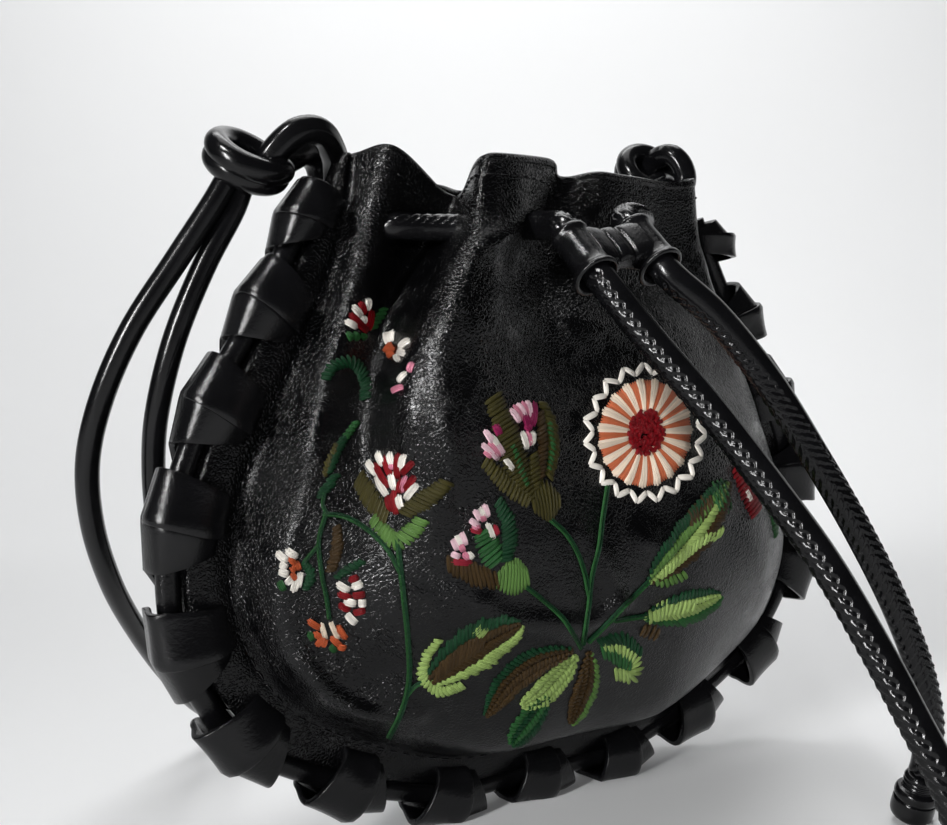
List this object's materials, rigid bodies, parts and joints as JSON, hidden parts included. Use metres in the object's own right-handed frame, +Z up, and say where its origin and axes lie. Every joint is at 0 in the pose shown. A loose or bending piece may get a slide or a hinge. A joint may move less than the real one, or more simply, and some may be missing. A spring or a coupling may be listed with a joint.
{
  "type": "mini bag",
  "caption": "Small gathered leather pouch with a laced edge, a braided drawstring with a keeper and a knotted cord strap, for carrying small things.",
  "frame": {"origin": "on the ground under the middle of the base, on the flattened foot of the lacing", "axes": "+X towards the bag's side that is on the right seen from the front, -Y towards the front, +Z up"},
  "size_m": [0.1797, 0.2035, 0.1531],
  "materials": {
    "black_leather": "glossy, finely crinkled",
    "strip_leather": "semi-gloss, smooth",
    "cord_leather": "semi-gloss"
  },
  "bodies": {
    "root": {"front_panel": "black_leather", "back_panel": "black_leather", "edge_piping": "black_leather", "edge_lace": "strip_leather", "drawstring_neck": "cord_leather", "drawstring_tail_left": "cord_leather", "drawstring_tail_right": "cord_leather", "drawstring_end_left": "cord_leather", "drawstring_end_right": "cord_leather", "drawstring_slider": "strip_leather", "strap_knot_left": "cord_leather", "strap_knot_right": "cord_leather", "strap_strand_outer": "cord_leather", "strap_strand_inner": "cord_leather"}
  },
  "joints": []
}
